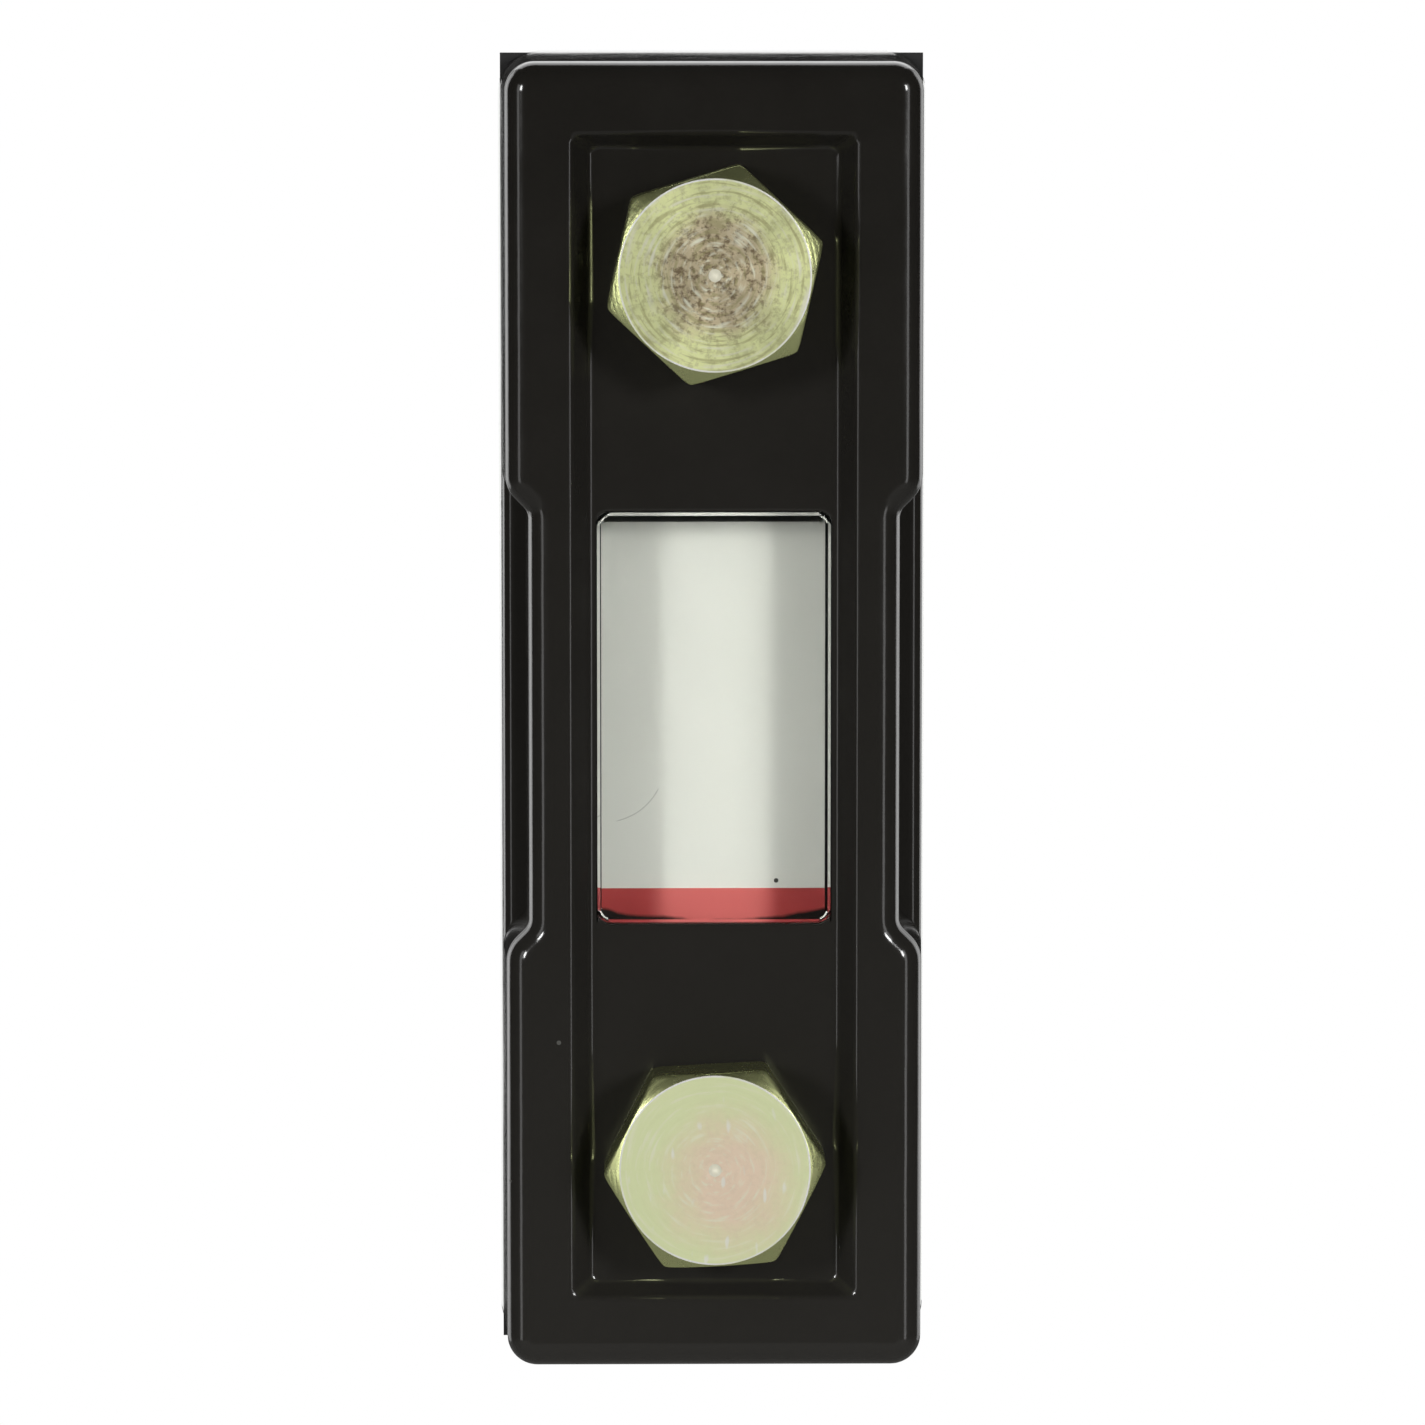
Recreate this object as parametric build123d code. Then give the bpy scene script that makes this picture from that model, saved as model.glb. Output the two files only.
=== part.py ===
"""Tank level gauge: a pressed housing over a clear sight body, held to an oil tank by two hollow bolts.

The gauge hangs on a vertical tank wall. X is its width, Z is up, and its front looks along -Y.
The origin lies in the tank face, midway between the two bolts. Sizes are in millimetres.
"""
import os
from math import radians, sqrt, tan

from build123d import *

# Bolts: hollow M10 hexagon bolts, which fasten the gauge and carry the oil to it.
bolt_spacing = 76.0
thread_diameter = 10.0
thread_reach = 16.0            # length of thread behind the tank face
thread_chamfer = 1.0
shank_diameter = 9.0           # plain shank, about the pitch diameter of the rolled thread
oil_bore_diameter = 4.2
cross_hole_diameter = 3.2
bore_past_cross_hole = 0.6
drill_point_angle = 31.0       # of the bore's blind end, from square across
head_across_flats = 16.6
head_across_corners = 19.0     # forged corners are a little round
head_height = 6.4
head_face_diameter = 16.2
washer_face_diameter = 15.6    # raised ring under the head that bears on the housing
washer_face_height = 0.5
head_chamfer_angle = 30.0
centre_dimple_diameter = 1.2
centre_dimple_depth = 0.5
upper_head_turn = 17.0         # degrees that each head stopped at when it was tightened
lower_head_turn = 3.0

# Housing: steel sheet pressed into a box that is open at the back, with drafted sides.
housing_width = 35.6           # across the front face
housing_height = 111.9
housing_depth = 17.3
housing_corner_radius = 2.6
housing_draft = 2.4            # degrees
front_edge_radius = 2.2        # bent round the punch
least_front_flat = 0.1         # left between that bend and the sunk field's rim on a narrow rail
undrafted_front = 2.5          # depth of straight wall that the front edge is bent from
sheet = 1.5
pocket_width = 24.3            # sunk field in the front, measured at its rim
pocket_height = 99.6
pocket_depth = 2.0
pocket_side_run = 1.6          # how far the side walls lean in, from rim to floor
pocket_end_run = 1.1
pocket_corner_radius = 0.8
pocket_edge_radius = 0.4       # of the rim
notch_depth = 1.95             # finger recess in each side
notch_half_flat = 17.7
notch_reach_back = 11.0        # from the front face to the ledge
notch_outer_radius = 3.0
notch_inner_radius = 1.2
ledge_edge_radius = 1.2        # on the shelf that the notch leaves in the side
window_width = 20.2
window_height = 35.4
window_corner_radius = 1.25
bolt_hole_diameter = 10.5

# Sight body: one clear moulding, with a rear flange, a pane that fills the window and an oil chamber.
flange_thickness = 1.2
flange_overhang = 0.15         # beyond the housing's rim
housing_clearance = 0.3
window_clearance = 0.12
pane_recess = 0.25             # pane's face behind the pocket floor
pane_edge_bevel = 0.5
pane_thickness = 3.3
body_corner_radius = 0.6       # of the block, the chamber and the reflector
body_bore_diameter = 9.6
oilway_diameter = 3.0

# Reflector: white tray in the chamber, with a red film across its foot for the minimum level.
reflector_width = 19.3
reflector_top = 16.9
reflector_bottom = -20.2
reflector_wall = 1.2
reflector_gap = 3.5            # oil between the pane and the reflector
reflector_side_clearance = 0.3
reflector_end_clearance = 1.1
film_height = 4.85
film_thickness = 0.15

# Seals: a sheet gasket on the tank wall, and a ring under the housing round each bolt.
gasket_thickness = 2.0
ring_width = 2.4
ring_height = 2.2
ring_clearance = 0.05

# Levels, as heights in front of the tank face.
flange_front = gasket_thickness + flange_thickness
front_face = flange_front + housing_depth
pocket_floor = front_face - pocket_depth
seat = pocket_floor - sheet
ledge = front_face - notch_reach_back
draft_start = front_face - undrafted_front
pane_front = pocket_floor - pane_recess
chamber_front = pane_front - pane_thickness
reflector_front = chamber_front - reflector_gap
oilway_level = reflector_front + oilway_diameter / 2
draft_slope = tan(radians(housing_draft))
rear_growth = (draft_start - flange_front) * draft_slope
ring_inner_radius = shank_diameter / 2 + ring_clearance
ring_pocket_diameter = 2 * (ring_inner_radius + ring_width + ring_clearance)
upper_bolt_z = bolt_spacing / 2
lower_bolt_z = -bolt_spacing / 2
chamber_width = reflector_width + 2 * reflector_side_clearance
chamber_length = reflector_top - reflector_bottom + 2 * reflector_end_clearance
reflector_middle = (reflector_top + reflector_bottom) / 2
narrowest_rail = min((housing_width - pocket_width) / 2 - notch_depth, (housing_height - pocket_height) / 2)
front_roll = min(front_edge_radius, narrowest_rail - pocket_edge_radius - least_front_flat)
body_width = housing_width - 2 * (notch_depth + sheet + housing_clearance)
body_length = housing_height - 2 * (sheet + housing_clearance)


def at(height):
    """Sketch plane parallel to the tank face, with X across, Z up and its normal to the front."""
    return Plane.XZ.offset(height)


def rectangle(width, length, radius, height, middle=0.0):
    """Rounded rectangle at one height in front of the tank face."""
    return at(height) * Pos(0, middle) * RectangleRounded(width, length, radius)


def disc(diameter, height, bolt_z):
    """Circle round one bolt's axis at one height in front of the tank face."""
    return at(height) * Pos(0, bolt_z) * Circle(diameter / 2)


def turned(section, bolt_z):
    """Revolve a section round one bolt's axis; its x is the radius and its y the height."""
    plane = Plane((0, 0, bolt_z), x_dir=(1, 0, 0), z_dir=(0, 0, -1))
    return revolve(plane * section, Axis((0, 0, bolt_z), (0, 1, 0)))


def pocket_rim(box):
    """Edges of the sunk field's rim in the front face."""
    front = box.faces().sort_by(Axis.Y)[0]
    return front.inner_wires()[0].edges()


def housing_outline(grow, notched):
    """Housing's outline, grown outwards on every side by grow from the one at the front face."""
    half_width, half_height = housing_width / 2 + grow, housing_height / 2 + grow
    corner = housing_corner_radius + grow
    if not notched:
        return RectangleRounded(2 * half_width, 2 * half_height, corner)
    neck = half_width - notch_depth
    flat = notch_half_flat - (sqrt(2) - 1) * grow
    run_out = flat + notch_depth
    quarter = [(neck, flat), (half_width, run_out), (half_width, half_height)]
    radii = [notch_inner_radius - grow, notch_outer_radius + grow, corner]
    corners = (
        quarter
        + [(-x, z) for x, z in reversed(quarter)]
        + [(-x, -z) for x, z in quarter]
        + [(x, -z) for x, z in reversed(quarter)]
    )
    return make_face(FilletPolyline(*corners, radius=(radii + radii[::-1]) * 2, close=True))


def roll_front(block, radius):
    """Bend round the front edge of a block."""
    return fillet(block.faces().sort_by(Axis.Y)[0].edges(), radius)


def housing_block(skin, rolled):
    """Solid shape of the housing, shrunk by skin, with a shelf in each notch."""

    def section(height, notched):
        growth = max(draft_start - height, 0) * draft_slope
        return at(height) * housing_outline(growth - skin, notched)

    shelf, top = ledge - skin, front_face - skin
    back = loft([section(flange_front, False), section(shelf, False)], ruled=True)
    middle = loft([section(shelf - ledge_edge_radius, True), section(draft_start, True)], ruled=True)
    front = extrude(section(draft_start, True), top - draft_start)
    if rolled:
        back, front = roll_front(back, ledge_edge_radius), roll_front(front, front_roll)
    return back + middle + front


def pocket(skin):
    """Space of the sunk field, grown by skin, from its floor to past the front face."""

    def section(height):
        share = (height - pocket_floor) / pocket_depth
        width = pocket_width - 2 * pocket_side_run * (1 - share) + 2 * skin
        length = pocket_height - 2 * pocket_end_run * (1 - share) + 2 * skin
        return rectangle(width, length, pocket_corner_radius + skin, height - skin)

    return loft([section(pocket_floor), section(front_face + pocket_depth)], ruled=True)


def press_housing():
    """Box pressed from sheet: rolled front edge, sunk field, side notches, window and bolt holes."""
    box = housing_block(0, True) - pocket(0)
    box = fillet(pocket_rim(box), pocket_edge_radius)
    box -= housing_block(sheet, False) - pocket(sheet)
    box -= extrude(rectangle(window_width, window_height, window_corner_radius, seat), 2 * sheet)
    for bolt_z in (upper_bolt_z, lower_bolt_z):
        box -= extrude(disc(bolt_hole_diameter, seat, bolt_z), 2 * sheet)
    return box


def mould_sight_body():
    """Clear moulding: rear flange, block inside the housing, pane, chamber, bores and oilway."""
    flange = at(gasket_thickness) * housing_outline(rear_growth + flange_overhang, False)
    body = extrude(flange, flange_thickness)
    body += extrude(rectangle(body_width, body_length, body_corner_radius, flange_front), seat - flange_front)
    pane = extrude(
        rectangle(
            window_width - 2 * window_clearance,
            window_height - 2 * window_clearance,
            window_corner_radius - window_clearance,
            seat,
        ),
        pane_front - seat,
    )
    body += chamfer(pane.edges().group_by(Axis.Y)[0], pane_edge_bevel)
    chamber = rectangle(chamber_width, chamber_length, body_corner_radius, gasket_thickness, reflector_middle)
    body -= extrude(chamber, chamber_front - gasket_thickness)
    for bolt_z in (upper_bolt_z, lower_bolt_z):
        body -= extrude(disc(body_bore_diameter, 0, bolt_z), seat)
        body -= extrude(disc(ring_pocket_diameter, seat - ring_height, bolt_z), ring_height)
    oilway = Plane((0, -oilway_level, lower_bolt_z)) * Circle(oilway_diameter / 2)
    return body - extrude(oilway, bolt_spacing)


def mould_reflector():
    """White tray, open to the back, that stands in the chamber and shows the oil in front of it."""

    def outline(wall):
        width, length = reflector_width - 2 * wall, reflector_top - reflector_bottom - 2 * wall
        return rectangle(width, length, body_corner_radius, gasket_thickness, reflector_middle)

    depth = reflector_front - gasket_thickness
    return extrude(outline(0), depth) - extrude(outline(reflector_wall), depth - reflector_wall)


def cut_film():
    """Red film stuck across the foot of the reflector, which marks the minimum level."""
    strip = Pos(0, reflector_bottom + film_height / 2) * Rectangle(reflector_width, film_height)
    return extrude(at(reflector_front) * strip, film_thickness)


def cut_gasket():
    """Rubber sheet with square corners and two bolt holes, which also closes the back of the chamber."""
    width, length = housing_width + 2 * rear_growth, housing_height + 2 * rear_growth
    gasket = extrude(at(0) * Rectangle(width, length), gasket_thickness)
    for bolt_z in (upper_bolt_z, lower_bolt_z):
        gasket -= extrude(disc(bolt_hole_diameter, 0, bolt_z), gasket_thickness)
    return gasket


def forge_head(bolt_z, turn):
    """Hexagon head with round corners, a chamfered face, a turned centre mark and a washer face."""
    underside = pocket_floor + washer_face_height
    height = head_height - washer_face_height
    face = head_face_diameter / 2
    spread = height / tan(radians(head_chamfer_angle))
    hexagon = RegularPolygon(head_across_flats / 2, 6, major_radius=False, rotation=turn)
    head = extrude(at(underside) * Pos(0, bolt_z) * hexagon, height)
    head &= extrude(disc(head_across_corners, underside, bolt_z), height)
    head &= loft([disc(2 * (face + spread), underside, bolt_z), disc(2 * face, underside + height, bolt_z)])
    dimple = Polyline(
        (0, underside + height),
        (centre_dimple_diameter / 2, underside + height),
        (0, underside + height - centre_dimple_depth),
        close=True,
    )
    head -= turned(make_face(dimple), bolt_z)
    return head + extrude(disc(washer_face_diameter, pocket_floor, bolt_z), washer_face_height)


def turn_shank(bolt_z):
    """Shank with its thread blank, oil bore and cross hole, from the head to the end of the thread."""
    thread, shank, bore = thread_diameter / 2, shank_diameter / 2, oil_bore_diameter / 2
    bore_end = oilway_level + cross_hole_diameter / 2 + bore_past_cross_hole
    half_section = Polyline(
        (0, pocket_floor),
        (shank, pocket_floor),
        (shank, 0),
        (thread, 0),
        (thread, thread_chamfer - thread_reach),
        (thread - thread_chamfer, -thread_reach),
        (bore, -thread_reach),
        (bore, bore_end),
        (0, bore_end + bore * tan(radians(drill_point_angle))),
        close=True,
    )
    cross_hole = Plane((0, -oilway_level, bolt_z - shank_diameter)) * Circle(cross_hole_diameter / 2)
    return turned(make_face(half_section), bolt_z) - extrude(cross_hole, 2 * shank_diameter)


def make_bolt(bolt_z, turn):
    """Hollow bolt: a forged hexagon head on a turned shank."""
    return forge_head(bolt_z, turn) + turn_shank(bolt_z)


def seal_ring(bolt_z):
    """Square-cut rubber ring round a bolt, squeezed between the sight body and the housing."""
    middle = ring_inner_radius + ring_width / 2, seat - ring_height / 2
    return turned(Pos(*middle) * Rectangle(ring_width, ring_height), bolt_z)


nodes = {
    "gasket": cut_gasket(),
    "sight_body": mould_sight_body(),
    "reflector": mould_reflector(),
    "minimum_level_film": cut_film(),
    "housing": press_housing(),
    "upper_bolt": make_bolt(upper_bolt_z, upper_head_turn),
    "lower_bolt": make_bolt(lower_bolt_z, lower_head_turn),
    "upper_seal_ring": seal_ring(upper_bolt_z),
    "lower_seal_ring": seal_ring(lower_bolt_z),
}

os.makedirs("parts", exist_ok=True)
for name, solid in nodes.items():
    export_step(solid, f"parts/{name}.step")
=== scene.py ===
from math import asin, cos, pi, radians, sin, sqrt, tan

import bmesh
import bpy
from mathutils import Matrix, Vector
from mathutils.geometry import tessellate_polygon


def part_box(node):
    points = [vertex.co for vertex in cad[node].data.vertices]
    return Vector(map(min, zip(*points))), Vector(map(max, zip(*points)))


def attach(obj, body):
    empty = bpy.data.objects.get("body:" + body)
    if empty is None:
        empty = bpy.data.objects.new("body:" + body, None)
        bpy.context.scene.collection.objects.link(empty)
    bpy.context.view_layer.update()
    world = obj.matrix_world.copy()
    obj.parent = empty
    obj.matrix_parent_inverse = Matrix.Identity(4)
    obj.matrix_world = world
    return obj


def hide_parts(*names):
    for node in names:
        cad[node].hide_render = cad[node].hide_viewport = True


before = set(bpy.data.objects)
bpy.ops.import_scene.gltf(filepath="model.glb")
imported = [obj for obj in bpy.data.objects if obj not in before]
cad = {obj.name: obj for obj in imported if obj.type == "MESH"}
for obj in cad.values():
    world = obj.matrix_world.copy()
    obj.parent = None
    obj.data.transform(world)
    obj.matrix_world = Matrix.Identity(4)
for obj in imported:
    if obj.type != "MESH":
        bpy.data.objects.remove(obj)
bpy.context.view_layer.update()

scene = bpy.context.scene
scene.view_settings.view_transform = "Standard"

# ---------------------------------------------------------------- studio
# Light tent: white paper behind, tall soft boxes at the sides and one over the back, and two small lamps in
# front. In mirrors the middle of the back paper is dark and the table grey, so that gloss black stays black.


def new_material(name):
    """Material with an empty node tree, and functions that add nodes and join a shader to its output."""
    material = bpy.data.materials.new(name)
    material.use_nodes = True
    tree = material.node_tree
    tree.nodes.clear()

    def add(kind, **values):
        """Node with its settings and sockets: i0 is the first socket, an underscore stands for a space."""
        node = tree.nodes.new("ShaderNode" + kind)
        for key, value in values.items():
            if key in ("operation", "blend_type", "data_type", "interpolation_type"):
                setattr(node, key, value)
                continue
            numbered = key[0] == "i" and key[1:].isdigit()
            socket = node.inputs[int(key[1:]) if numbered else key.replace("_", " ")]
            if isinstance(value, bpy.types.NodeSocket):
                tree.links.new(value, socket)
            else:
                socket.default_value = value
        return node

    def surface(socket):
        """Join a shader to the material's output."""
        tree.links.new(socket, add("OutputMaterial").inputs["Surface"])

    return material, add, surface


def calculate(add, operation, *values):
    """One step of arithmetic."""
    sockets = {f"i{number}": value for number, value in enumerate(values)}
    return add("Math", operation=operation, **sockets).outputs[0]


def ramp(add, value, low=0.0, high=1.0, start=0.0, stop=1.0, soft=False):
    """Number that goes from start to stop while the value goes from low to high, evenly or with soft ends."""
    curve = "SMOOTHSTEP" if soft else "LINEAR"
    ends = {"From_Min": low, "From_Max": high, "To_Min": start, "To_Max": stop}
    return add("MapRange", interpolation_type=curve, Value=value, **ends).outputs[0]


def grey(add, lightness):
    """Grey of one lightness."""
    return add("CombineColor", Red=lightness, Green=lightness, Blue=lightness).outputs[0]


def across(add, place):
    """Part of a place that lies across the front, without its depth, and how long that part is."""
    flat = add("VectorMath", operation="MULTIPLY", i0=place, i1=(1, 0, 1)).outputs[0]
    return flat, add("VectorMath", operation="LENGTH", i0=flat).outputs["Value"]


def card(name, corners, material):
    """Four-cornered sheet of paper."""
    mesh = bpy.data.meshes.new(name)
    mesh.from_pydata(corners, [], [(0, 1, 2, 3)])
    mesh.materials.append(material)
    sheet = bpy.data.objects.new(name, mesh)
    scene.collection.objects.link(sheet)
    return sheet


def paper(name, hole, edge):
    """Matt white paper, bright to the camera; mirrors see it dark inside the hole, bright past the edge."""
    material, add, surface = new_material(name)
    ray = add("LightPath")
    place = add("TexCoord").outputs["Object"]
    outside = ramp(add, across(add, place)[1], hole, edge, soft=True)
    mirrored = calculate(add, "MULTIPLY", ray.outputs["Is Glossy Ray"], outside)
    seen = calculate(add, "MAXIMUM", ray.outputs["Is Camera Ray"], mirrored)
    seen = calculate(add, "MAXIMUM", seen, ray.outputs["Is Transmission Ray"])
    grain = add("TexNoise", Vector=place, Scale=40.0).outputs[0]
    matt = add("BsdfDiffuse", Color=grey(add, ramp(add, grain, start=0.02, stop=0.03)))
    bright = add("Emission", Color=(1, 1, 1, 1), Strength=1.0)
    surface(add("MixShader", Fac=seen, i1=matt.outputs[0], i2=bright.outputs[0]).outputs[0])
    return material


def table_paper(name):
    """Matt pale paper that the lamps light; mirrors see it darker, as a table shaded by the tent's front."""
    material, add, surface = new_material(name)
    grain = add("TexNoise", Vector=add("TexCoord").outputs["Object"], Scale=60.0).outputs[0]
    matt = add("BsdfDiffuse", Color=grey(add, ramp(add, grain, start=0.58, stop=0.62)))
    shaded = add("BsdfDiffuse", Color=(0.30, 0.30, 0.29, 1))
    mirrored = add("LightPath").outputs["Is Glossy Ray"]
    surface(add("MixShader", Fac=mirrored, i1=matt.outputs[0], i2=shaded.outputs[0]).outputs[0])
    return material


# In metres from the gauge's middle: to either side, to the front and the back, and the two heights.
SIDE, NEAR, BACK, TABLE, PAPER_TOP = 2.4, -1.5, 1.2, -0.35, 1.8
floor_corners = [(-SIDE, NEAR, TABLE), (SIDE, NEAR, TABLE), (SIDE, BACK, TABLE), (-SIDE, BACK, TABLE)]
back_corners = [(-SIDE, BACK, TABLE), (SIDE, BACK, TABLE), (SIDE, BACK, PAPER_TOP), (-SIDE, BACK, PAPER_TOP)]
floor = card("floor", floor_corners, table_paper("table_paper"))
backdrop = card("backdrop", back_corners, paper("back_paper", hole=0.34, edge=0.55))

room = bpy.data.worlds.new("room")
room.use_nodes = True
room_light = room.node_tree.nodes["Background"]
room_light.inputs["Color"].default_value = (1.0, 0.98, 0.94, 1)
room_light.inputs["Strength"].default_value = 0.018
scene.world = room


def facing(azimuth, elevation):
    """Direction from the gauge: azimuth 0 in front of it and 90 to its right."""
    turn, tilt = radians(azimuth), radians(elevation)
    return Vector((sin(turn) * cos(tilt), -cos(turn) * cos(tilt), sin(tilt)))


def stand(holder, azimuth, elevation, distance):
    """Put a lamp or the camera round the gauge, turned to face it."""
    holder.location = facing(azimuth, elevation) * distance
    holder.rotation_euler = facing(azimuth, elevation).to_track_quat("Z", "Y").to_euler()
    scene.collection.objects.link(holder)


def soft_box(name, azimuth, elevation, distance, width, height, watts):
    """Rectangular lamp that faces the gauge."""
    lamp = bpy.data.lights.new(name, "AREA")
    lamp.shape = "RECTANGLE"
    lamp.size, lamp.size_y, lamp.energy = width, height, watts
    stand(bpy.data.objects.new(name, lamp), azimuth, elevation, distance)


soft_box("left_lamp", -39, 12, 1.2, 0.14, 0.26, 3.9)
soft_box("right_lamp", 36, 12, 1.2, 0.14, 0.26, 4.2)
soft_box("left_strip", -52, -5, 1.2, 0.20, 1.2, 1.5)
soft_box("right_strip", 45, -5, 1.2, 0.20, 1.2, 1.7)
soft_box("left_side", -128, 5, 0.9, 0.36, 1.1, 2.0)
soft_box("right_side", 128, 5, 0.9, 0.36, 1.1, 1.5)
soft_box("over_back", 180, 52, 0.8, 0.9, 0.55, 3.9)

lens = bpy.data.cameras.new("camera")
lens.lens, lens.sensor_width, lens.clip_start = 172.0, 36.0, 0.05
lens.shift_x, lens.shift_y = 0.0009, -0.0107
camera = bpy.data.objects.new("camera", lens)
stand(camera, azimuth=-0.75, elevation=5.6, distance=0.6)
scene.camera = camera

# ---------------------------------------------------------------- gasket
# Sheet of black rubber, cut with square corners, between the tank wall and the flange of the clear body. It
# is dull, with a fine tooth and a little pale bloom. The two rings under the housing are the same rubber.


def mix(add, share, first, second):
    """Colour between two, with a share of the second."""
    return add("Mix", data_type="RGBA", Factor=share, i6=first, i7=second).outputs[2]


def dull_rubber(name):
    """Black rubber with a fine tooth and a pale bloom in patches."""
    material, add, surface = new_material(name)
    place = add("TexCoord").outputs["Object"]
    patches = add("TexNoise", Vector=place, Scale=130.0, Detail=4.0, Roughness=0.6).outputs[0]
    tooth = add("TexNoise", Vector=place, Scale=2600.0, Detail=2.0).outputs[0]
    bloom = ramp(add, patches, 0.35, 0.75)
    tint = mix(add, bloom, (0.017, 0.017, 0.018, 1), (0.032, 0.031, 0.030, 1))
    dullness = ramp(add, patches, 0.3, 0.8, 0.52, 0.68)
    relief = add("Bump", Strength=0.3, Distance=0.00003, Height=tooth).outputs[0]
    surface(add("BsdfPrincipled", Base_Color=tint, Roughness=dullness, Normal=relief).outputs[0])
    return material


def dress(piece, material):
    """Give a whole piece one material."""
    piece.data.materials.clear()
    piece.data.materials.append(material)


rubber = dull_rubber("rubber")
for name in ("gasket", "upper_seal_ring", "lower_seal_ring"):
    dress(cad[name], rubber)

# ---------------------------------------------------------------- sight body
# One clear acrylic moulding. Its pane fills the window of the housing and its flange shows as a pale line
# round the housing's rim. The moulding is polished, with faint flow marks and a narrow bevel round the pane.

BEVEL, POLISHED_BEVEL = 0.0005, 0.00025    # the solid's bevel in metres, and the narrower one made here
SLACK = 0.00001                            # points this close to a level lie on it


def clear_acrylic(name):
    """Clear acrylic with flow marks, which lets the lamps' light straight through to the reflector."""
    material, add, surface = new_material(name)
    place = add("TexCoord").outputs["Object"]
    flow = add("TexNoise", Vector=place, Scale=90.0, Detail=3.0, Distortion=0.4).outputs[0]
    tint = mix(add, flow, (0.985, 0.99, 0.98, 1), (0.965, 0.975, 0.955, 1))
    haze = ramp(add, flow, 0.3, 0.7, 0.0, 0.05)
    ripple = add("Bump", Strength=0.15, Distance=0.00004, Height=flow).outputs[0]
    moulding = {"Base_Color": tint, "Roughness": haze, "IOR": 1.49, "Transmission_Weight": 1.0}
    clear = add("BsdfPrincipled", Normal=ripple, **moulding)
    through = add("BsdfTransparent", Color=(1, 1, 1, 1))
    shadow = add("LightPath").outputs["Is Shadow Ray"]
    surface(add("MixShader", Fac=shadow, i1=clear.outputs[0], i2=through.outputs[0]).outputs[0])
    return material


def side_of(size):
    """1 on the positive side and -1 on the other."""
    return 1 if size > 0 else -1


pane_front = -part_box("sight_body")[0][1]
mesh = cad["sight_body"].data.copy()
for point in mesh.vertices:
    if -point.co.y > pane_front - SLACK:
        point.co.x += (BEVEL - POLISHED_BEVEL) * side_of(point.co.x)
        point.co.z += (BEVEL - POLISHED_BEVEL) * side_of(point.co.z)
    elif -point.co.y > pane_front - BEVEL - SLACK:
        point.co.y = -(pane_front - POLISHED_BEVEL)
body = bpy.data.objects.new("moulded_body", mesh)
scene.collection.objects.link(body)
dress(body, clear_acrylic("acrylic"))
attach(body, "root")
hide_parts("sight_body")

# ---------------------------------------------------------------- reflector
# White plastic tray that stands in the oil chamber behind the pane, moulded with a low gloss and a little
# yellowed. It ends lower than its solid, so the clear body shows dark above it. It has a scratch and a speck.

TOP_BAND, SHORTER = 0.0001, 0.0005         # points that lie at its top, and how much lower they go, in metres


def ring_mark(add, place, x, z, radius, width):
    """Mask of a fine ring, or of a speck when radius is zero, round a point of the front; in millimetres."""
    away = add("VectorMath", operation="SUBTRACT", i0=place, i1=(x * 0.001, 0, z * 0.001)).outputs[0]
    off = calculate(add, "SUBTRACT", across(add, away)[1], radius * 0.001)
    off = calculate(add, "ABSOLUTE", off)
    return calculate(add, "LESS_THAN", off, width * 0.001)


def white_plastic(name):
    """White moulded plastic in two whites, with a fine grain, a piece of a hair scratch and a dark speck."""
    material, add, surface = new_material(name)
    place = add("TexCoord").outputs["Object"]
    cloud = add("TexNoise", Vector=place, Scale=110.0, Detail=5.0, Roughness=0.65).outputs[0]
    grain = add("TexNoise", Vector=place, Scale=1900.0, Detail=2.0).outputs[0]
    plastic = mix(add, cloud, (0.80, 0.81, 0.74, 1), (0.75, 0.765, 0.69, 1))
    hair = ring_mark(add, place, x=-9.4, z=-4.4, radius=5.2, width=0.04)
    near_hair = ring_mark(add, place, x=-6.3, z=-8.4, radius=0, width=2.3)
    scratch = calculate(add, "MULTIPLY", calculate(add, "MULTIPLY", hair, near_hair), 0.35)
    speck = ring_mark(add, place, x=5.45, z=-14.7, radius=0, width=0.2)
    dirt = calculate(add, "MAXIMUM", scratch, speck)
    tint = mix(add, dirt, plastic, (0.05, 0.05, 0.04, 1))
    gloss = ramp(add, grain, start=0.30, stop=0.42)
    relief = add("Bump", Strength=0.2, Distance=0.00002, Height=grain).outputs[0]
    surface(add("BsdfPrincipled", Base_Color=tint, Roughness=gloss, Normal=relief).outputs[0])
    return material


tray_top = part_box("reflector")[1][2]
mesh = cad["reflector"].data.copy()
for point in mesh.vertices:
    if point.co.z > tray_top - TOP_BAND:
        point.co.z -= SHORTER
tray = bpy.data.objects.new("moulded_reflector", mesh)
scene.collection.objects.link(tray)
dress(tray, white_plastic("white_plastic"))
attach(tray, "root")
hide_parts("reflector")

# ---------------------------------------------------------------- minimum level film
# Strip of red self-adhesive film across the foot of the reflector, with a painted pool of light in its middle
# and painted shade, near black, along its foot that climbs towards the lower corners.

PAINTED_SHADE_FULL, PAINTED_SHADE_END = -0.01775, -0.01745        # heights between which the painted shade at its foot ends, in metres
CLIMB, WAVER = -11.0, 0.0011               # rise of the painted shade to the sides, and unevenness of its edge
PAINTED_POOL_FULL, PAINTED_POOL_END = 0.000012, 0.000036        # distances from the middle, squared, between which the painted pool of light ends


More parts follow.
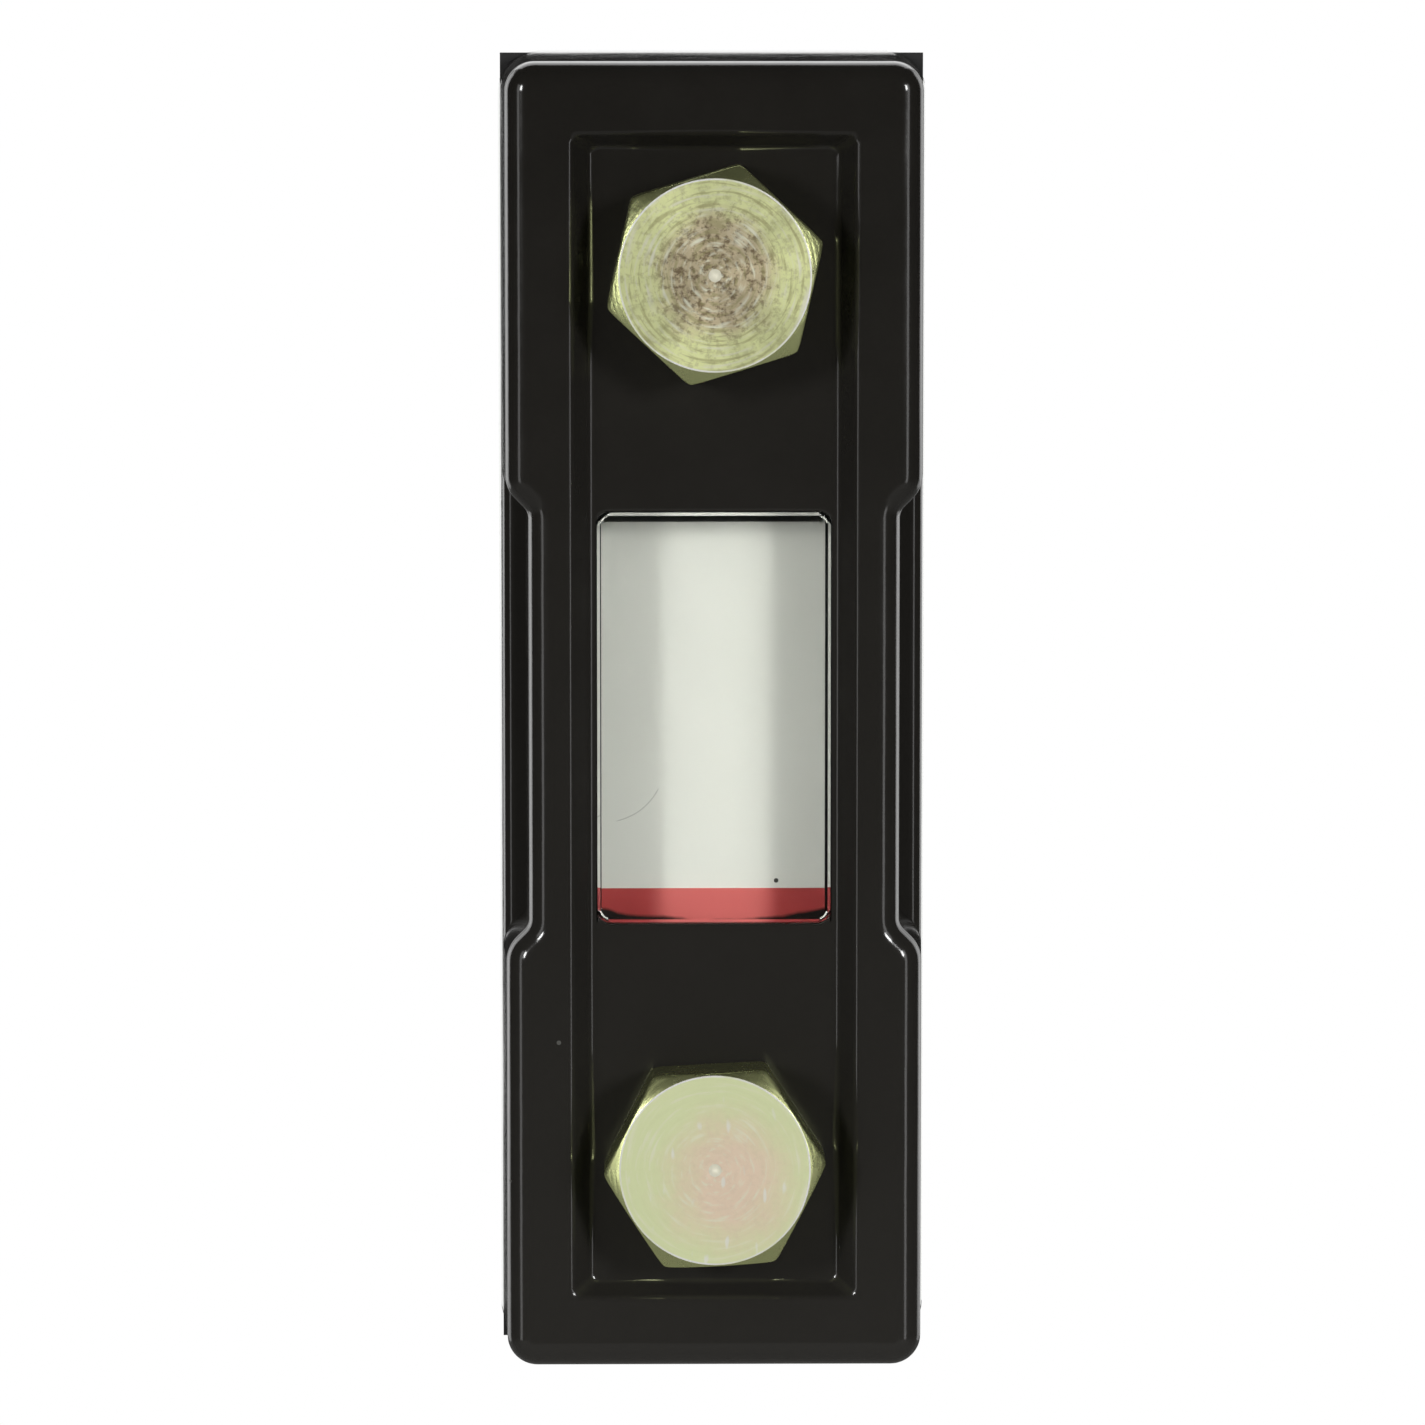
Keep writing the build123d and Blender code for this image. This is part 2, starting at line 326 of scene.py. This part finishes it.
def red_film(name):
    """Red gloss film, with a painted pool of light in the middle and painted shade at its foot."""
    material, add, surface = new_material(name)
    place = add("TexCoord").outputs["Object"]
    cloud = add("TexNoise", Vector=place, Scale=260.0, Detail=4.0).outputs[0]
    apart = add("SeparateXYZ", Vector=place).outputs
    aside = calculate(add, "MULTIPLY", apart["X"], apart["X"])
    sag = calculate(add, "MULTIPLY_ADD", aside, CLIMB, apart["Z"])
    edge = calculate(add, "MULTIPLY_ADD", cloud, WAVER, sag)
    red = mix(add, cloud, (0.52, 0.070, 0.065, 1), (0.40, 0.045, 0.045, 1))
    # Painted pool of light: the middle is mixed towards a lighter red.
    red = mix(add, ramp(add, aside, PAINTED_POOL_FULL, PAINTED_POOL_END, 0.75, 0.0, soft=True), red, (0.70, 0.17, 0.155, 1))
    # Painted shade: the foot is mixed towards near black, higher towards the lower corners.
    tint = mix(add, ramp(add, edge, PAINTED_SHADE_FULL, PAINTED_SHADE_END), (0.013, 0.010, 0.008, 1), red)
    gloss = ramp(add, cloud, start=0.25, stop=0.4)
    relief = add("Bump", Strength=0.2, Distance=0.00002, Height=cloud).outputs[0]
    surface(add("BsdfPrincipled", Base_Color=tint, Roughness=gloss, Normal=relief).outputs[0])
    return material


dress(cad["minimum_level_film"], red_film("red_film"))

# ---------------------------------------------------------------- housing
# Box pressed from 1.5 mm steel sheet, open at the back: rolled front edge, a sunk field, a finger notch with
# a shelf in each side, a window and two bolt holes. Stoved in gloss black enamel, slightly wavy.


def levels(node):
    """Front and back of a solid, in millimetres in front of the tank face."""
    low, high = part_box(node)
    return round(-low[1] * 1000, 2), round(-high[1] * 1000, 2)


def axis(node):
    """Height of a bolt's axis, in millimetres."""
    low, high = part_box(node)
    return round((low[2] + high[2]) * 500, 1)


# All in millimetres. A level is counted from the tank face to the front.
FRONT, RIM_LEVEL = levels("housing")
STRAIGHT, FLOOR, SHELF, SHEET = 18.0, 18.5, 9.5, 1.5
SEAT = FLOOR - SHEET
HALF_WIDTH, HALF_HEIGHT, CORNER = 17.8, 55.95, 2.6
SLOPE = tan(radians(2.4))
FRONT_ROLL, FRONT_STEPS = 2.2, 12
SHELF_ROLL, SHELF_STEPS = 1.2, 8
NOTCH, NOTCH_FLAT, NOTCH_IN, NOTCH_OUT = 1.95, 17.7, 1.2, 3.0
FIELD_WIDTH, FIELD_HEIGHT, FOOT_WIDTH, FOOT_HEIGHT = 24.3, 99.6, 21.1, 97.4
FIELD_CORNER, FIELD_BEND, FIELD_STEPS = 0.8, 0.5, 6
WINDOW_WIDTH, WINDOW_HEIGHT, WINDOW_CORNER = 20.2, 35.4, 1.25
WINDOW_BEND, WINDOW_STEPS, WINDOW_CORNER_STEPS = 0.3, 4, 8
BOLT_HOLE = 5.25
UPPER_AXIS, LOWER_AXIS = axis("upper_bolt"), axis("lower_bolt")


class Skin:
    """Vertices and faces of one piece, in millimetres, built up from loops."""

    def __init__(self):
        self.points, self.faces = [], []

    def loop(self, points):
        """Add a loop of vertices."""
        start = len(self.points)
        self.points += [Vector(p) for p in points]
        return list(range(start, len(self.points)))

    def bridge(self, first, second):
        """Add the faces between two loops, and give back the second."""
        for i in range(len(first)):
            j = (i + 1) % len(first)
            self.faces.append((first[i], first[j], second[j], second[i]))
        return second

    def fill(self, *loops):
        """Flat face inside the first loop, with the other loops as holes."""
        flat = [i for one in loops for i in one]
        for a, b, c in tessellate_polygon([[self.points[i] for i in one] for one in loops]):
            self.faces.append((flat[a], flat[b], flat[c]))

    def piece(self, name, origin=(0, 0, 0), crease=38):
        """Closed mesh object in metres, smooth except across edges sharper than crease degrees."""
        mesh = bpy.data.meshes.new(name)
        mesh.from_pydata([(p - Vector(origin)) * 0.001 for p in self.points], [], self.faces)
        work = bmesh.new()
        work.from_mesh(mesh)
        bmesh.ops.remove_doubles(work, verts=work.verts, dist=2e-6)
        bmesh.ops.dissolve_degenerate(work, edges=work.edges, dist=1e-6)
        bmesh.ops.recalc_face_normals(work, faces=work.faces)
        work.to_mesh(mesh)
        work.free()
        mesh.shade_smooth()
        mesh.set_sharp_from_angle(angle=radians(crease))
        made = bpy.data.objects.new(name, mesh)
        made.location = Vector(origin) * 0.001
        scene.collection.objects.link(made)
        even = made.modifiers.new("even_normals", "WEIGHTED_NORMAL")
        even.keep_sharp = True
        return made


def arc(centre, radius, start, stop, steps):
    """Points on an arc, each with its outward direction; angles in degrees."""
    for k in range(steps + 1):
        a = radians(start + (stop - start) * k / steps)
        yield centre[0] + radius * cos(a), centre[1] + radius * sin(a), cos(a), sin(a)


def line(start, stop, normal, steps):
    """Points along a line, without its end, each with the line's outward direction."""
    for k in range(steps):
        t = k / steps
        yield start[0] + (stop[0] - start[0]) * t, start[1] + (stop[1] - start[1]) * t, *normal


def outline_quarter():
    """Upper right quarter of the front outline, from the middle of the notch to the middle of the top."""
    neck, slant = HALF_WIDTH - NOTCH, sqrt(0.5)
    short = tan(radians(22.5))
    inner = (neck + NOTCH_IN, NOTCH_FLAT - short * NOTCH_IN)
    outer = (HALF_WIDTH - NOTCH_OUT, NOTCH_FLAT + NOTCH + short * NOTCH_OUT)
    slant_end = (outer[0] + NOTCH_OUT * slant, outer[1] - NOTCH_OUT * slant)
    corner = (HALF_WIDTH - CORNER, HALF_HEIGHT - CORNER)
    points = list(line((neck, 0), (neck, inner[1]), (1, 0), 12))
    points += [(x, z, -nx, -nz) for x, z, nx, nz in arc(inner, NOTCH_IN, 180, 135, 8)]
    points += list(line(points[-1][:2], slant_end, (slant, -slant), 6))[1:]
    points += list(arc(outer, NOTCH_OUT, -45, 0, 10))
    points += list(line(points[-1][:2], (HALF_WIDTH, corner[1]), (1, 0), 18))[1:]
    points += list(arc(corner, CORNER, 0, 90, 14))
    points += list(line(points[-1][:2], (0, HALF_HEIGHT), (0, 1), 8))[1:]
    return points + [(0, HALF_HEIGHT, 0, 1)]


def all_round(quarter):
    """Whole loop from its upper right quarter."""
    back = quarter[::-1]
    return (
        quarter[:-1]
        + [(-x, z, -nx, nz) for x, z, nx, nz in back[:-1]]
        + [(-x, -z, -nx, -nz) for x, z, nx, nz in quarter[:-1]]
        + [(x, -z, nx, -nz) for x, z, nx, nz in back[:-1]]
    )


OUTLINE = all_round(outline_quarter())
RUN_OUT = NOTCH_FLAT + NOTCH + NOTCH_OUT * tan(radians(22.5))


def in_notch(point):
    """Whether a point of the outline lies between the two ends of a notch."""
    return abs(point[1]) < RUN_OUT


def grown(level):
    """How far the drafted walls have spread at one level."""
    return max(STRAIGHT - level, 0) * SLOPE


def notched(grow, level):
    """The outline at one level, grown outwards."""
    return [(x + nx * grow, -level, z + nz * grow) for x, z, nx, nz in OUTLINE]


def shelf_column(point, grow, level, share, radius):
    """One point of the shelf's rolled edge: share 0 is on the side wall and 1 is where the notch cuts it."""
    x, z, nx, nz = point
    if not in_notch(point):
        return x + nx * grow, -(level - radius), z + nz * grow
    wall = HALF_WIDTH + grow
    depth = max(wall - abs(x + nx * grow), 0)
    end = pi / 2 if depth >= radius else asin(sqrt(1 - (1 - depth / radius) ** 2))
    turn = end * share
    reach = wall - radius * (1 - cos(turn))
    return side_of(x) * reach, -(level - radius + radius * sin(turn)), z + nz * grow


def shelf_loop(grow, level, share=0, radius=0):
    """The side wall without its notch at one level, or one loop of the shelf's rolled edge."""
    return [shelf_column(point, grow, level, share, radius) for point in OUTLINE]


def rectangle(width, length, corner, level, steps=6, sides=8):
    """Rounded rectangle as a loop."""
    x, z = width / 2 - corner, length / 2 - corner
    quarter = list(line((x + corner, 0), (x + corner, z), (1, 0), sides))
    quarter += list(arc((x, z), corner, 0, 90, steps))
    quarter += list(line((x, z + corner), (0, z + corner), (0, 1), sides))[1:]
    return [(px, -level, pz) for px, pz, nx, nz in all_round(quarter + [(0, z + corner, 0, 1)])]


def circle(radius, level, middle_z, steps=64):
    """Circle as a loop."""
    turns = [2 * pi * k / steps for k in range(steps)]
    return [(radius * cos(turn), -level, middle_z + radius * sin(turn)) for turn in turns]


def bend(skin, last, before, edge, after, steps):
    """Round the edge between two straight stretches of wall, loop by loop."""
    for k in range(steps + 1):
        t = k / steps
        mixed = [
            tuple((1 - t) ** 2 * a + 2 * t * (1 - t) * b + t * t * c for a, b, c in zip(p, q, r))
            for p, q, r in zip(before, edge, after)
        ]
        last = skin.bridge(last, skin.loop(mixed)) if last else skin.loop(mixed)
    return last


def bend_start(last, steps):
    """First loop of a bend, from its last loop."""
    return [i - steps * len(last) for i in last]


def towards(first, second, distance):
    """Loop moved from first towards second by a distance, or away from it when negative."""
    moved = []
    for p, q in zip(first, second):
        way = Vector(q) - Vector(p)
        moved.append(tuple(Vector(p) + way.normalized() * distance))
    return moved


def level_with(loop, level):
    """The same loop at another level."""
    return [(x, -level, z) for x, y, z in loop]


# Outside: side wall, rolled edge of the shelf, notch, and the bend into the front.
pressing = Skin()
rear = pressing.loop(shelf_loop(grown(RIM_LEVEL), RIM_LEVEL))
last = rear
for k in range(SHELF_STEPS + 1):
    rolled = shelf_loop(grown(SHELF - SHELF_ROLL), SHELF, k / SHELF_STEPS, SHELF_ROLL)
    last = pressing.bridge(last, pressing.loop(rolled))
notch_foot = []
for point, i in zip(OUTLINE, last):
    x, y, z = pressing.points[i]
    if in_notch(point):
        x = point[0] + point[2] * grown(SHELF)
        z = point[1] + point[3] * grown(SHELF)
    notch_foot.append((x, y, z))
last = pressing.bridge(last, pressing.loop(notch_foot))
last = pressing.bridge(last, pressing.loop(notched(0, STRAIGHT)))
for k in range(1, FRONT_STEPS + 1):
    turn = pi / 2 * k / FRONT_STEPS
    rolled = notched(-FRONT_ROLL * (1 - cos(turn)), FRONT - FRONT_ROLL * (1 - sin(turn)))
    last = pressing.bridge(last, pressing.loop(rolled))
front_edge = last

# Sunk field: a rim and a foot that are both bent, the window with a bent edge, and the two bolt holes.
rim = rectangle(FIELD_WIDTH, FIELD_HEIGHT, FIELD_CORNER, FRONT)
foot = rectangle(FOOT_WIDTH, FOOT_HEIGHT, FIELD_CORNER, FLOOR)
on_front = towards(rim, level_with(foot, FRONT), -FIELD_BEND)
on_floor = towards(foot, level_with(rim, FLOOR), -FIELD_BEND)
field_wall = bend(pressing, None, on_front, rim, towards(rim, foot, FIELD_BEND), FIELD_STEPS)
pressing.fill(front_edge, bend_start(field_wall, FIELD_STEPS))
floor_edge = bend(pressing, field_wall, towards(foot, rim, FIELD_BEND), foot, on_floor, FIELD_STEPS)
wide, high = WINDOW_WIDTH + 2 * WINDOW_BEND, WINDOW_HEIGHT + 2 * WINDOW_BEND
window = rectangle(WINDOW_WIDTH, WINDOW_HEIGHT, WINDOW_CORNER, FLOOR, WINDOW_CORNER_STEPS)
round_window = rectangle(wide, high, WINDOW_CORNER + WINDOW_BEND, FLOOR, WINDOW_CORNER_STEPS)
in_window = level_with(window, FLOOR - WINDOW_BEND)
window_edge = bend(pressing, None, round_window, window, in_window, WINDOW_STEPS)
axes = (UPPER_AXIS, LOWER_AXIS)
holes = [pressing.loop(circle(BOLT_HOLE, FLOOR, z)) for z in axes]
pressing.fill(floor_edge, bend_start(window_edge, WINDOW_STEPS), *holes)

# Inside: the same walls one sheet further in, down to the seat of the clear body.
under_window = pressing.bridge(window_edge, pressing.loop(level_with(window, SEAT)))
under_holes = []
for hole, z in zip(holes, axes):
    under_holes.append(pressing.bridge(hole, pressing.loop(circle(BOLT_HOLE, SEAT, z))))
inside = pressing.bridge(rear, pressing.loop(shelf_loop(grown(RIM_LEVEL) - SHEET, RIM_LEVEL)))
inside = pressing.bridge(inside, pressing.loop(shelf_loop(grown(SHELF) - SHEET, SHELF - SHEET)))
inside = pressing.bridge(inside, pressing.loop(notched(grown(SHELF) - SHEET, SHELF - SHEET)))
inside = pressing.bridge(inside, pressing.loop(notched(-SHEET, STRAIGHT)))
inside = pressing.bridge(inside, pressing.loop(notched(-SHEET, FRONT - SHEET)))
grown_corner = FIELD_CORNER + SHEET
back_of_rim = rectangle(FIELD_WIDTH + 2 * SHEET, FIELD_HEIGHT + 2 * SHEET, grown_corner, FRONT - SHEET)
back_of_foot = rectangle(FOOT_WIDTH + 2 * SHEET, FOOT_HEIGHT + 2 * SHEET, grown_corner, SEAT)
under_rim = pressing.loop(back_of_rim)
pressing.fill(inside, under_rim)
under_floor = pressing.bridge(under_rim, pressing.loop(back_of_foot))
pressing.fill(under_floor, under_window, *under_holes)
housing = pressing.piece("pressed_housing")


def black_enamel(name):
    """Gloss black enamel: wavy, with a fine peel, handled patches, dust grains, and lighter low down."""
    material, add, surface = new_material(name)
    place = add("TexCoord").outputs["Object"]
    swell = add("TexNoise", Vector=place, Scale=140.0, Detail=2.0).outputs[0]
    peel = add("TexNoise", Vector=place, Scale=900.0, Detail=2.0).outputs[0]
    handled = add("TexNoise", Vector=place, Scale=70.0, Detail=6.0, Roughness=0.7).outputs[0]
    cells = add("TexVoronoi", Vector=place, Scale=230.0, Randomness=1.0)
    few = add("SeparateColor", Color=cells.outputs["Color"]).outputs[0]
    rare = calculate(add, "GREATER_THAN", few, 0.90)
    near = calculate(add, "LESS_THAN", cells.outputs["Distance"], 0.045)
    dust = calculate(add, "MULTIPLY", rare, near)
    black = mix(add, handled, (0.0135, 0.0124, 0.0106, 1), (0.0240, 0.0222, 0.0193, 1))
    height = add("SeparateXYZ", Vector=place).outputs[2]
    # Lighter towards the bottom: the black is mixed towards a dark grey low down.
    lighter_low = ramp(add, height, -0.056, 0.056, 0.6, 0.0)
    black = mix(add, lighter_low, black, (0.040, 0.038, 0.034, 1))
    tint = mix(add, dust, black, (0.10, 0.10, 0.09, 1))
    gloss = ramp(add, handled, 0.35, 0.7, 0.10, 0.17)
    dull = calculate(add, "MULTIPLY_ADD", dust, 0.4, gloss)
    waves = add("Bump", Strength=0.5, Distance=0.00012, Height=swell).outputs[0]
    relief = add("Bump", Strength=0.25, Distance=0.00002, Height=peel, Normal=waves).outputs[0]
    surface(add("BsdfPrincipled", Base_Color=tint, Roughness=dull, Normal=relief).outputs[0])
    return material


dress(housing, black_enamel("black_enamel"))
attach(housing, "root")
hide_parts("housing")

# ---------------------------------------------------------------- bolts
# Two hollow M10 bolts that hold the gauge and carry the oil. Forged hexagon heads with turned faces, rolled
# threads behind the tank face, and yellow zinc passivate that shines green, brown and pink.

# Levels, radii and lengths in millimetres, as for the housing.
TOP, END = levels("upper_bolt")
UNDER = 19.0
FLAT, WIDEST, FACE, WASHER, SHANK, BORE = 8.3, 9.55, 8.1, 7.8, 4.5, 2.1
BORE_END, BORE_POINT = 15.15, 16.37
PITCH, ROWS_A_PITCH, THREAD, CORE, TIP = 1.5, 14, 5.0, 4.08, 4.0
RUN_IN = 1.2                               # length over which the thread rises from the shank
CHAMFER = tan(radians(30))
DIMPLE, POINT = 0.55, 0.08                 # radii of the pale centre mark and of the smallest ring
FROM_FLAT = [2.4, 7, 12, 17, 21, 24, 26, 27.6, 28.6, 29.4]
AROUND_FLAT = [-degrees for degrees in reversed(FROM_FLAT)] + FROM_FLAT
COLUMNS = [side * 60 + degrees for side in range(6) for degrees in AROUND_FLAT]


def hexagon(angle):
    """Radius of the head at an angle from the middle of a flat, with round corners."""
    off = radians((angle + 30) % 60 - 30)
    return ((FLAT / cos(off)) ** -70 + WIDEST ** -70) ** (-1 / 70)


def thread_radius(level, angle):
    """Radius of the rolled thread, which fades out at the tank face and ends in a chamfer."""
    turn = (level / PITCH + angle / 360) % 1.0
    crest = min(max((0.5 - abs(turn - 0.5)) * 2 * 1.25 - 0.18, 0), 0.875) / 0.875
    full = CORE + (THREAD - CORE) * crest
    fade = min(max(-level / RUN_IN, 0), 1)
    return min(SHANK + (full - SHANK) * fade, TIP + (level - END))


def chamfer(radius):
    """Level of the head's chamfer at a radius."""
    return TOP - (radius - FACE) * CHAMFER


def profile(angle):
    """Radius and level of each ring at one angle, from the centre mark over the head to the bore's end."""
    side = hexagon(angle)
    rings = [(POINT, TOP - 0.5), (0.35, TOP - 0.27), (0.56, TOP - 0.05), (0.64, TOP)]
    rings += [(radius, TOP) for radius in (1.2, 2.2, 3.5, 5.0, 6.5, 7.5)]
    rings += [(FACE - 0.12, TOP), (FACE - 0.03, TOP - 0.008), (FACE + 0.05, TOP - 0.035)]
    for share in (0.25, 0.5, 0.75, 1.0):
        radius = FACE + 0.05 + (side - FACE - 0.13) * share
        rings.append((radius, chamfer(radius) - 0.006))
    rings += [(side - 0.02, chamfer(side) - 0.03), (side, chamfer(side) - 0.12)]
    rings += [(side, UNDER + 0.1), (side - 0.1, UNDER), (WASHER + 0.05, UNDER), (WASHER, UNDER - 0.05)]
    rings += [(WASHER, FLOOR + 0.05), (WASHER - 0.05, FLOOR), (SHANK, FLOOR), (SHANK, 0.0)]
    rows = round(-END / (PITCH / ROWS_A_PITCH))
    for level in [END * k / rows for k in range(1, rows + 1)]:
        rings.append((thread_radius(level, angle), level))
    return rings + [(BORE + 0.1, END), (BORE, END + 0.1), (BORE, BORE_END), (POINT, BORE_POINT)]


def bolt(name, middle_z, turn, material):
    """Head, shank, thread and bore as one closed mesh round the bolt's own axis."""
    made = Skin()
    ways = [(cos(radians(angle + turn)), sin(radians(angle + turn))) for angle in COLUMNS]
    loops = []
    for ring in zip(*[profile(angle) for angle in COLUMNS]):
        points = [(r * way[0], -level, middle_z + r * way[1]) for (r, level), way in zip(ring, ways)]
        loops.append(made.loop(points))
    for first, second in zip(loops, loops[1:]):
        made.bridge(first, second)
    made.fill(loops[0])
    made.fill(loops[-1])
    piece = made.piece(name + "_forged", (0, 0, middle_z), 50)
    dress(piece, material)
    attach(piece, "root")
    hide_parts(name)


def zinc(name, centre, outer, speckle, turning, middle, spread, softness):
    """Passivated zinc: a matt turned face, a near-white matt rim, and glossier olive sides.

    The centre tint has its middle and spread in metres, and fades over the softness into the outer tint.
    Speckle and turning, from 0 to 1, say how much pits and lathe arcs show, and speckle the painted sheen.
    """
    material, add, surface = new_material(name)
    place = add("TexCoord").outputs["Object"]
    x, y, z = add("SeparateXYZ", Vector=place).outputs
    flat, radius = across(add, place)
    cloud = add("TexNoise", Vector=place, Scale=330.0, Detail=5.0, Roughness=0.65).outputs[0]
    grit = add("TexNoise", Vector=place, Scale=1900.0, Detail=3.0, Roughness=0.7).outputs[0]
    around = calculate(add, "MULTIPLY", calculate(add, "ARCTAN2", z, x), 1.6)
    along = calculate(add, "MULTIPLY", radius, 2600.0)
    lathe = add("CombineXYZ", X=along, Y=around).outputs[0]
    arcs = add("TexNoise", Vector=lathe, Scale=1.0, Detail=3.0).outputs[0]

    # Face: the two tints, pits, pale arcs (lathe marks with painted highlight) and dark arcs, a painted sheen
    # that changes round it, nicks and the centre mark.
    off_middle = add("VectorMath", operation="SUBTRACT", i0=flat, i1=middle).outputs[0]
    off_middle = add("VectorMath", operation="LENGTH", i0=off_middle).outputs["Value"]
    uneven = calculate(add, "MULTIPLY_ADD", cloud, 0.0045, off_middle)
    outward = ramp(add, uneven, spread, spread + softness, soft=True)
    fewer = ramp(add, outward, start=1.0, stop=0.3)
    pits = calculate(add, "MULTIPLY", ramp(add, grit, 0.47, 0.63, stop=speckle), fewer)
    face = mix(add, pits, mix(add, outward, centre, outer), (0.20, 0.14, 0.07, 1))
    # Lathe marks, and a painted highlight: the arcs are mixed towards a pale yellow for their glints.
    face = mix(add, ramp(add, arcs, 0.54, 0.70, stop=turning), face, (1.0, 1.0, 0.78, 1))
    face = mix(add, ramp(add, arcs, 0.46, 0.36, stop=0.6 * speckle), face, (0.40, 0.37, 0.16, 1))
    # Painted sheen: brightness that changes with the bearing round the face, a painted highlight.
    bearing = add("VectorMath", operation="NORMALIZE", i0=flat).outputs[0]
    sheen = add("TexNoise", Vector=bearing, Scale=1.7, Detail=2.0).outputs[0]
    lit = grey(add, ramp(add, sheen, 0.35, 0.65, 1 - 0.3 * speckle, 1.0))
    face = add("Mix", data_type="RGBA", blend_type="MULTIPLY", Factor=1.0, i6=face, i7=lit).outputs[2]
    drawn = add("VectorMath", operation="MULTIPLY", i0=place, i1=(1, 1, 0.3)).outputs[0]
    blots = add("TexNoise", Vector=drawn, Scale=1500.0, Detail=0.0).outputs[0]
    nicks = ramp(add, blots, 0.75, 0.82, stop=0.7 * (1 - speckle))
    face = mix(add, nicks, face, (1.0, 1.0, 0.92, 1))
    face = mix(add, calculate(add, "LESS_THAN", radius, DIMPLE * 0.001), face, (0.95, 0.93, 0.78, 1))

    # Where the face ends, a near-white matt rim, and the sides.
    within = calculate(add, "LESS_THAN", radius, (FACE - 0.04) * 0.001)
    in_front = calculate(add, "LESS_THAN", y, -(TOP - 0.6) * 0.001)
    on_face = calculate(add, "MULTIPLY", within, in_front)
    past_face = calculate(add, "GREATER_THAN", radius, (FACE - 0.1) * 0.001)
    on_top = calculate(add, "LESS_THAN", y, -(TOP - 0.035) * 0.001)
    pale_rim = calculate(add, "MULTIPLY", past_face, on_top)
    pale_rim_share = calculate(add, "MULTIPLY", pale_rim, ramp(add, cloud, 0.35, 0.55, 0.45, 1.0))
    side = mix(add, cloud, (0.84, 0.92, 0.42, 1), (0.68, 0.70, 0.35, 1))
    tint = mix(add, pale_rim_share, mix(add, on_face, side, face), (1.0, 1.0, 0.95, 1))
    matt = calculate(add, "MAXIMUM", on_face, pale_rim)
    metal = ramp(add, matt, start=0.92, stop=0.05)
    rough = ramp(add, matt, start=ramp(add, cloud, 0.3, 0.7, 0.20, 0.32), stop=0.42)
    grooves = add("Bump", Strength=0.6 * turning, Distance=0.00006, Height=arcs).outputs[0]
    relief = add("Bump", Strength=0.5 * speckle, Distance=0.00005, Height=grit, Normal=grooves).outputs[0]
    surface(add("BsdfPrincipled", Base_Color=tint, Metallic=metal, Roughness=rough, Normal=relief).outputs[0])
    return material


turned_zinc = zinc(
    "turned_zinc",
    centre=(0.72, 0.61, 0.39, 1),
    outer=(0.95, 1.0, 0.50, 1),
    speckle=0.90,
    turning=0.90,
    middle=(0, 0, 0),
    spread=0.0058,
    softness=0.0028,
)
smooth_zinc = zinc(
    "smooth_zinc",
    centre=(1.0, 0.80, 0.60, 1),
    outer=(0.88, 0.945, 0.545, 1),
    speckle=0.05,
    turning=0.55,
    middle=(0.0012, 0, -0.001),
    spread=0.004,
    softness=0.006,
)
FLAT_DOWN, UPPER_TURN, LOWER_TURN = -90, 17.0, 3.0
bolt("upper_bolt", UPPER_AXIS, UPPER_TURN + FLAT_DOWN, turned_zinc)
bolt("lower_bolt", LOWER_AXIS, LOWER_TURN + FLAT_DOWN, smooth_zinc)
